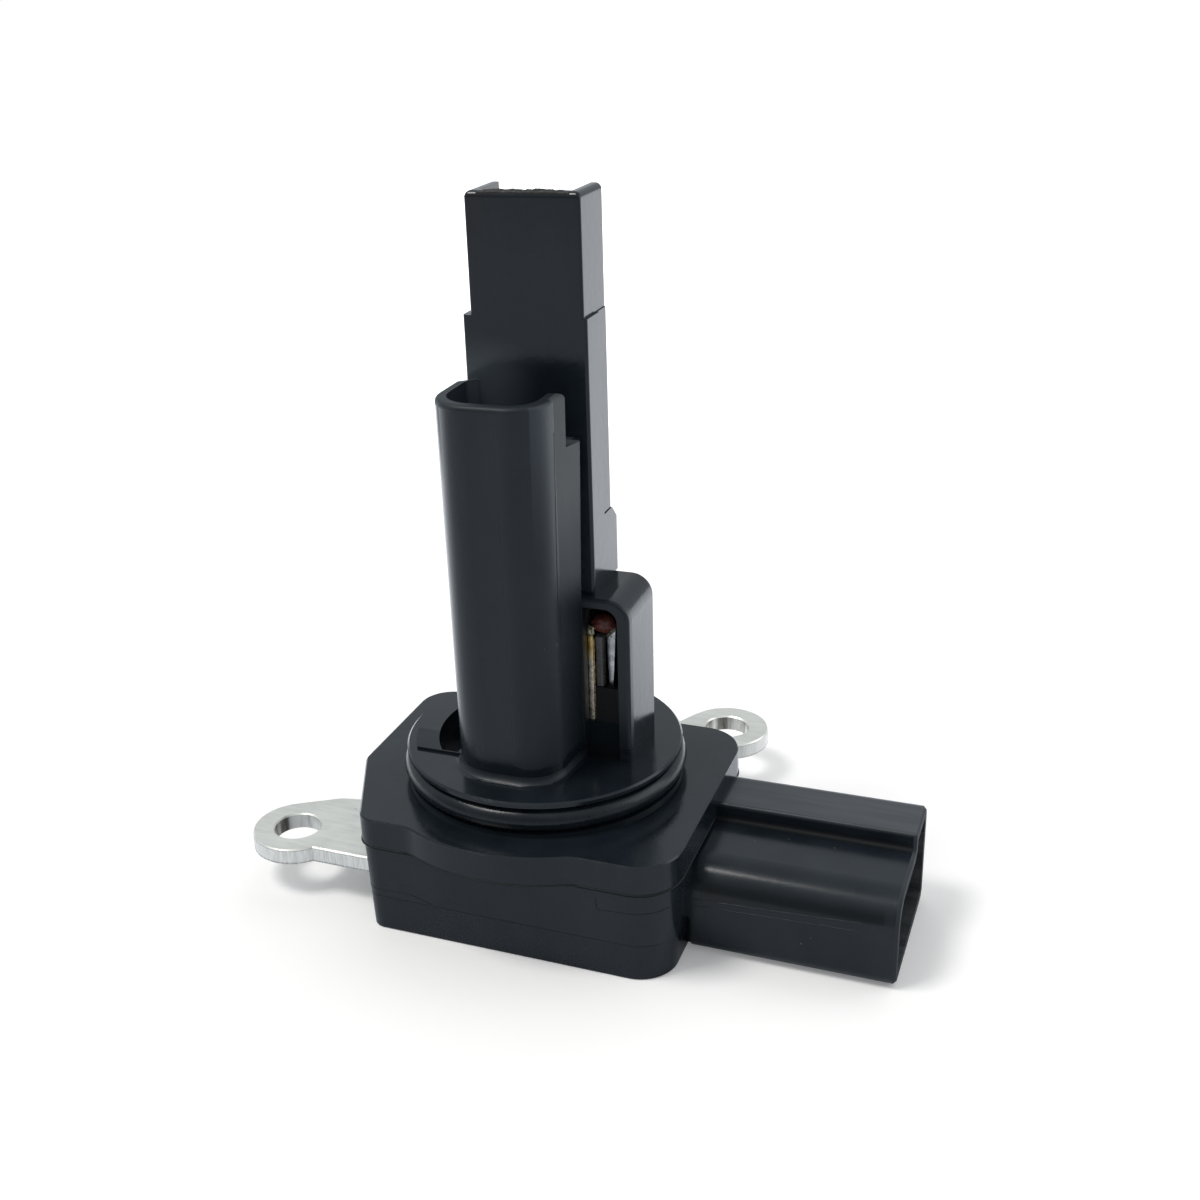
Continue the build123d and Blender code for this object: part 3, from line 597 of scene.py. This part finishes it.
def outline_at(name, height):
    """A node's outer outline at a height: ordered points in millimetres."""
    bm = bmesh.new()
    bm.from_mesh(NODES[name].data)
    bmesh.ops.remove_doubles(bm, verts=bm.verts, dist=2e-6)
    cut = bmesh.ops.bisect_plane(bm, geom=bm.verts[:] + bm.edges[:] + bm.faces[:],
                                 plane_co=(0, 0, height * MM), plane_no=(0, 0, 1))["geom_cut"]
    near = {}
    for edge in cut:
        if isinstance(edge, bmesh.types.BMEdge):
            a, b = edge.verts
            near.setdefault(a, []).append(b)
            near.setdefault(b, []).append(a)
    loops, seen = [], set()
    for start in near:
        loop, here = [], start
        while here is not None and here not in seen:
            seen.add(here)
            loop.append(here.co / MM)
            here = next((v for v in near[here] if v not in seen), None)
        if len(loop) > 2:
            loops.append(loop)
    bm.free()
    return max(loops, key=width)


def block(bm, low, high, draft=0.0, bevel=0.12):
    """A small moulded block: drafted sides and rounded edges."""
    (x0, y0, z0), (x1, y1, z1) = low, high
    rings = []
    for z, d in ((z0, 0.0), (z1, draft)):
        plan = ((x0 + d, y0 + d), (x1 - d, y0 + d), (x1 - d, y1 - d), (x0 + d, y1 - d))
        rings.append([bm.verts.new((x, y, z)) for x, y in plan])
    skin(bm, rings)
    bm.faces.new(rings[0])
    bm.faces.new(rings[1])
    edges = {e for v in rings[0] + rings[1] for e in v.link_edges}
    bmesh.ops.bevel(bm, geom=list(edges), offset=bevel, segments=3, affect="EDGES", profile=0.5)


# ---------------------------------------------------------------- seal ring
def seal_ring():
    """The O-ring: a smooth section with a fine flash line round its outside."""
    turns, sides = 180, 40
    flash_height, flash_angle = 0.035, 0.06
    section_r = RING_SECTION_R - flash_height
    bm = bmesh.new()
    rings = []
    for t in range(turns):
        a = 2 * math.pi * t / turns
        sag = 1 + 0.004 * math.sin(3 * a)
        ring = []
        for s in range(sides):
            b = 2 * math.pi * s / sides
            outside = math.cos(b) > 0
            flash = flash_height * math.exp(-(math.sin(b) / flash_angle) ** 2) if outside else 0.0
            r = max(RING_MAJOR_R + (section_r + flash) * math.cos(b), GROOVE_R)
            h = RING_Z + section_r * math.sin(b) * sag
            ring.append(bm.verts.new((r * math.cos(a), r * math.sin(a), h)))
        rings.append(ring)
    skin(bm, rings, closed_path=True)
    piece("seal_ring", bm, RUBBER, instead_of="o_ring")


# ---------------------------------------------------------------- air thermistor
def thermistor_bead():
    """Epoxy drop, broad above and drawn down towards the post."""
    narrowing, lean, low_share, high_share = 0.22, 0.05, 0.86, 0.92

    def drop(p):
        k = 1.0 - narrowing * max(0.0, -p.z)
        return Vector((p.x * k + lean * p.z, p.y * k, p.z * (low_share if p.z < 0 else high_share)))

    bm = bmesh.new()
    lump(bm, BEAD_AT, (1.40, 1.16, 1.16), 0.10, 2.3, rings=30, sides=44, shape=drop)
    piece("bead_drop", bm, BEAD, instead_of="thermistor_bead")


def thermistor_leads():
    """Bent wires from the blades into the bead, each in a blob of solder."""
    wire_r, steps = 0.13, 16
    # foot on the blade, end in the bead, height of the bend, size and seed of the blob
    leads = [
        ((6.2, -1.78, 30.3), (6.75, -1.35, 31.35), 0.75, 1.3, 5.1),
        ((8.25, -1.08, 29.9), (8.0, -1.0, 30.9), 0.45, 0.8, 6.1),
    ]
    for i, (foot, into, lift, big, seed) in enumerate(leads, 1):
        foot, into = Vector(foot), Vector(into)
        bend = foot + Vector((0.0, 0.0, lift))
        path = [foot * (1 - t) ** 2 + bend * 2 * t * (1 - t) + into * t * t
                for t in (k / steps for k in range(steps + 1))]
        bm = bmesh.new()
        tube_along(bm, path, wire_r, sides=12)
        lump(bm, foot + Vector((-0.05, 0.0, 0.3 * big)), (0.38 * big, 0.30 * big, 0.46 * big), 0.3, seed,
             rings=16, sides=24)
        if i == 2:
            # a bright fillet of solder along the blade's slanting top
            left, low, run, rise, parts = 7.66, 30.08, 1.08, 1.05, 14
            fillet = [Vector((left + run * k / parts, -1.31, low + rise * k / parts)) for k in range(parts + 1)]
            tube_along(bm, fillet, uneven(0.07, 0.03, fillet, 2.3))
        piece(f"solder_joint_{i}", bm, SOLDER, instead_of=f"thermistor_lead_{i}")


def blade_piece(name, node, edges, depth, top, mat, slant=0.0, seed=0.0):
    """A stamped strip with soft, slightly uneven edges; edges(z) gives its left and right."""
    front, back = depth
    bottom, lean_from, steps, r = 8.7, 26.0, 90, 0.09
    rows = []
    bm = bmesh.new()
    for k in range(steps + 1):
        z = bottom + (top - bottom) * k / steps
        left, right = edges(z)
        left += 0.022 * noise.noise(Vector((seed, 0.3, z * 1.1)))
        right += 0.02 * noise.noise(Vector((seed, 9, z * 1.3)))
        lean = slant * max(0.0, (z - lean_from) / (top - lean_from)) ** 3
        row = []
        for cx, cy, a0 in ((right - r, back - r, 0), (left + r, back - r, 90),
                           (left + r, front + r, 180), (right - r, front + r, 270)):
            for s in range(4):
                a = math.radians(a0 + 30 * s)
                x = cx + r * math.cos(a)
                row.append(bm.verts.new((x, cy + r * math.sin(a), z + lean * (x - left))))
        rows.append(row)
    skin(bm, rows)
    bm.faces.new(rows[0])
    bm.faces.new(rows[-1])
    piece(name, bm, mat, instead_of=node)


def thermistor_blades():
    """The front blade is a plain strip. The rear one widens upwards to a slanting top."""
    def front(_z):
        return 5.87, 6.50

    def rear(z):
        up = min(1.0, max(0.0, (z - 24.0) / 6.2))
        return 7.87 - 0.18 * up, 8.33 + 0.40 * up

    blade_piece("front_blade", "thermistor_blade_1", front, (-2.0, -1.57), 30.3, TIN, seed=1.0)
    blade_piece("rear_blade", "thermistor_blade_2", rear, (-1.3, -0.95), 30.05, SILVER, slant=0.95, seed=4.0)


def front_blade_burr():
    """A bright brass line down the front blade's right corner."""
    low, rise, steps = 20.9, 9.1, 60
    heights = [low + rise * k / steps for k in range(steps + 1)]
    path = [Vector((6.56 + 0.012 * math.sin(1.7 * z), -1.86, z)) for z in heights]
    radii = uneven(0.05, 0.014, [Vector((0, 0, z)) for z in heights], 2.1)
    bm = bmesh.new()
    tube_along(bm, path, radii)
    piece("front_blade_burr", bm, BRASS)


def blade_carrier():
    """Moulded seat that the post and the rear blade stand in, and the jamb left of the blades."""
    foot = PEDESTAL_TOP - 0.05
    bm = bmesh.new()
    block(bm, (6.66, -2.25, foot), (9.5, -0.55, foot + 4.0), draft=0.02)
    piece("blade_carrier", bm, SEAM_AND_SHADE, smooth=False)
    bm = bmesh.new()
    block(bm, (5.42, -1.85, foot), (5.80, -0.4, WINDOW_TOP - 0.05), draft=0.02, bevel=0.08)
    piece("window_jamb", bm, JAMB, smooth=False)


# ---------------------------------------------------------------- joints and mould lines
def joint_beads():
    """Dark beads in the joints over and under the case; the one under the flange is also painted shadow under
    the flange's overhang.
    """
    flange_foot = [p - Vector((0, 0, 0.02)) for p in outline_at("sensor_housing", CASE_TOP + 0.06)]
    cover_edge = outline_at("circuit_cover", COVER_TOP - 0.05)
    for name, path, radius in (("flange_joint_and_shadow", flange_foot, 0.10), ("cover_joint", cover_edge, 0.05)):
        bm = bmesh.new()
        tube_along(bm, path, radius, closed=True)
        piece(name, bm, SEAM_AND_SHADE)


def mould_lines():
    """Fine beads on the case's front, the connector's side and the tube's right edge."""
    def line(name, mat, radius, path):
        bm = bmesh.new()
        tube_along(bm, path, uneven(radius, 0.35 * radius, path, 1.9))
        piece(name, bm, mat)

    case = surface("connector_case")
    before_case, inward = -13.0, Vector((0, 1, 0))
    for name, mat, radius, corners in (
        ("step_line", SEAM_AND_SHADE, 0.045, [(-14.5, 4.85), (-9.3, 5.0), (-6.6, 4.2)]),
        ("patch_line", SEAM_AND_SHADE, 0.045, [(11.08, 9.0), (11.2, 7.72), (14.7, 7.9), (18.2, 8.0)]),
        ("parting_line", RIDGE, 0.05, [(19.1, 6.3), (36.0, 7.07)]),
        ("parting_ridge", RIDGE, 0.045, [(19.1, 5.6), (36.0, 6.2)]),
    ):
        line(name, mat, radius, trace(case, [Vector((x, before_case, z)) for x, z in corners], inward))

    upper, lower = Vector((TUBE_RIGHT, -10.18, 54.1)), Vector((TUBE_RIGHT, -10.88, 36.6))
    slanting_in = Vector((-0.347, 0.872, -0.346))
    line("tube_line", SEAM_AND_SHADE, 0.035, trace(surface("sensor_housing"), [upper, lower], slanting_in))


def connector_web():
    """Ribs that close the foot of the case against the connector, near-black as painted shade in that corner.
    """
    bm = bmesh.new()
    block(bm, (17.4, -8.3, 0.35), (18.72, 7.2, 4.3), bevel=0.1)
    for y in (-5.5, -1.0, 3.5):
        block(bm, (17.5, y, 0.5), (18.78, y + 0.8, 4.2), bevel=0.1)
    piece("connector_web", bm, SEAM_AND_SHADE, smooth=False)


def tip_flash():
    """The ragged edge left along the tip's top where the moulding gate broke off."""
    left, length, count = -3.55, 9.1, 120
    front, depth, across = -2.13, 1.15, 7
    base_z, front_z, floor_z = TIP_TOP - 0.04, TIP_TOP - 0.14, TIP_TOP - 0.5
    bm = bmesh.new()
    rows = []
    for k in range(count + 1):
        along = k / count
        x = left + length * along
        ends = min(1.0, 6.0 * along, 6.0 * (1 - along))
        row = []
        for j in range(across + 1):
            y = front + depth * j / across
            coarse = noise.noise(Vector((x * 1.6, y * 2.5, 4.0)))
            fine = noise.noise(Vector((x * 5.5, y * 6.0, 9.0)))
            rag = max(0.0, 0.10 + 0.16 * coarse + 0.08 * fine)
            edge = math.sin(math.pi * j / across) ** 0.4 * ends
            row.append(bm.verts.new((x, y, (base_z if j else front_z) + rag * edge)))
        rows.append(row)
    skin(bm, rows, closed_rings=False)
    rim = [r[0] for r in rows] + rows[-1][1:] + [r[-1] for r in reversed(rows[:-1])] + rows[0][-2:0:-1]
    base = []
    for v in rim:
        tuck = 0.05 if v.co.y < -2.1 else 0.0
        base.append(bm.verts.new((v.co.x, v.co.y + tuck, floor_z)))
    skin(bm, [rim, base])
    bm.faces.new(base)
    piece("tip_flash", bm, FRACTURE)


seal_ring()
thermistor_bead()
thermistor_leads()
thermistor_blades()
front_blade_burr()
blade_carrier()
joint_beads()
mould_lines()
connector_web()
tip_flash()

# ---------------------------------------------------------------- stage
# The paper's colour seen and in reflections. Its glow, in metres from the part: the camera
# sees it whiten with distance, and reflections see it brighten from front to back.
PAPER, PAPER_MIRRORED, GLOW = (0.92, 0.92, 0.92), (0.63, 0.68, 0.75), (0.96, 0.98, 1.0, 1.0)
SEEN_FROM, SEEN_TO, SEEN_NEAR, SEEN_FAR = 0.03, 0.4, 0.15, 1.2
MIRRORED_FROM, MIRRORED_TO, MIRRORED_FRONT, MIRRORED_BACK = -0.02, 0.10, 0.03, 1.35
MIRRORED_TILT = -0.3
# The world's strength as fill light, and in reflections low in front and high behind.
WORLD_FILL, SKY_FRONT, SKY_BACK = 0.46, 0.32, 0.74


def floor_material():
    """White paper. In reflections it is brighter behind and dimmer in front."""
    g = material("floor")
    g.tree.nodes.remove(g.bsdf)
    rays = g.node("ShaderNodeLightPath").outputs
    place = g.node("ShaderNodeNewGeometry").outputs["Position"]
    distance = g.node("ShaderNodeVectorMath")
    distance.operation = "LENGTH"
    g.link(place, distance.inputs[0])
    seen = g.ramp(distance.outputs["Value"], SEEN_FROM, SEEN_TO, SEEN_NEAR, SEEN_FAR)
    along = g.math("MULTIPLY_ADD", g.axis(0, place), MIRRORED_TILT, g.axis(1, place))
    mirrored = g.ramp(along, MIRRORED_FROM, MIRRORED_TO, MIRRORED_FRONT, MIRRORED_BACK)
    strength = g.math("ADD", g.math("MULTIPLY", rays["Is Camera Ray"], seen),
                      g.math("MULTIPLY", rays["Is Glossy Ray"], mirrored))
    paper = g.node("ShaderNodeBsdfDiffuse", Color=g.mix(rays["Is Glossy Ray"], PAPER, PAPER_MIRRORED))
    glow = g.node("ShaderNodeEmission", Color=GLOW, Strength=strength)
    total = g.node("ShaderNodeAddShader")
    g.link(paper.outputs[0], total.inputs[0])
    g.link(glow.outputs[0], total.inputs[1])
    g.link(total.outputs[0], g.tree.nodes["Material Output"].inputs["Surface"])
    return g.owner


def make_floor():
    bm = bmesh.new()
    bmesh.ops.create_grid(bm, x_segments=1, y_segments=1, size=3.0)
    mesh = bpy.data.meshes.new("floor")
    bm.to_mesh(mesh)
    bm.free()
    mesh.materials.append(floor_material())
    floor = bpy.data.objects.new("floor", mesh)
    bpy.context.scene.collection.objects.link(floor)


def studio_world():
    """White to the camera, plain fill for the light, and in reflections dimmer low in front."""
    g = Graph(bpy.data.worlds.new("studio"))
    g.tree.nodes.clear()
    bpy.context.scene.world = g.owner
    rays = g.node("ShaderNodeLightPath").outputs
    sky = g.node("ShaderNodeTexCoord").outputs["Generated"]
    high_or_behind = g.math("MULTIPLY_ADD", g.axis(2, sky), 0.9, g.axis(1, sky))
    level = g.ramp(high_or_behind, -0.7, 0.35, SKY_FRONT, SKY_BACK)

    def background(strength, color=(1.0, 1.0, 1.0, 1.0)):
        return g.node("ShaderNodeBackground", Color=color, Strength=strength).outputs[0]

    def choose(ray, otherwise, chosen):
        node = g.node("ShaderNodeMixShader")
        for value, socket in zip((rays[ray], otherwise, chosen), node.inputs):
            g.link(value, socket)
        return node.outputs[0]

    lit = choose("Is Glossy Ray", background(WORLD_FILL), background(level, (0.88, 0.95, 1.0, 1.0)))
    g.node("ShaderNodeOutputWorld", Surface=choose("Is Camera Ray", lit, background(1.0)))


def lamp(name, location, size, power, color, target_z=0.03):
    """A rectangular lamp aimed at the part."""
    data = bpy.data.lights.new(name, "AREA")
    data.shape = "RECTANGLE"
    data.size, data.size_y = size
    data.energy = power
    data.color = color
    obj = bpy.data.objects.new(name, data)
    bpy.context.scene.collection.objects.link(obj)
    obj.location = location
    obj.rotation_mode = "QUATERNION"
    obj.rotation_quaternion = (Vector((0, 0, target_z)) - obj.location).to_track_quat("-Z", "Y")
    return obj


make_floor()
studio_world()
back = lamp("back", (0.10, 0.50, 0.52), (1.00, 0.70), 1.4, (1.0, 1.0, 1.0), target_z=0.02)
back.visible_glossy = False
lamp("key", (-0.28, -0.20, 0.68), (0.24, 0.24), 2.7, (1.0, 0.985, 0.96))
lamp("fill_right", (0.75, 0.25, 0.35), (0.6, 0.6), 1.5, (0.96, 0.98, 1.0))

# ---------------------------------------------------------------- camera
CAMERA_AT = Vector((54.778, -131.957, 93.820))
CAMERA_TURN = [math.radians(a) for a in (67.0761, 2.7285, 22.3309)]

cam_data = bpy.data.cameras.new("camera")
cam_data.sensor_fit = "HORIZONTAL"
cam_data.sensor_width = 36.0
cam_data.lens = 45.5856
cam_data.shift_x = 0.07054
cam_data.shift_y = -0.00578
cam_data.clip_start, cam_data.clip_end = 0.005, 20.0
cam = bpy.data.objects.new("camera", cam_data)
bpy.context.scene.collection.objects.link(cam)
bpy.context.scene.camera = cam
cam.matrix_world = Matrix.LocRotScale(CAMERA_AT * MM, Euler(CAMERA_TURN), None)

bpy.context.scene.view_settings.view_transform = "Standard"
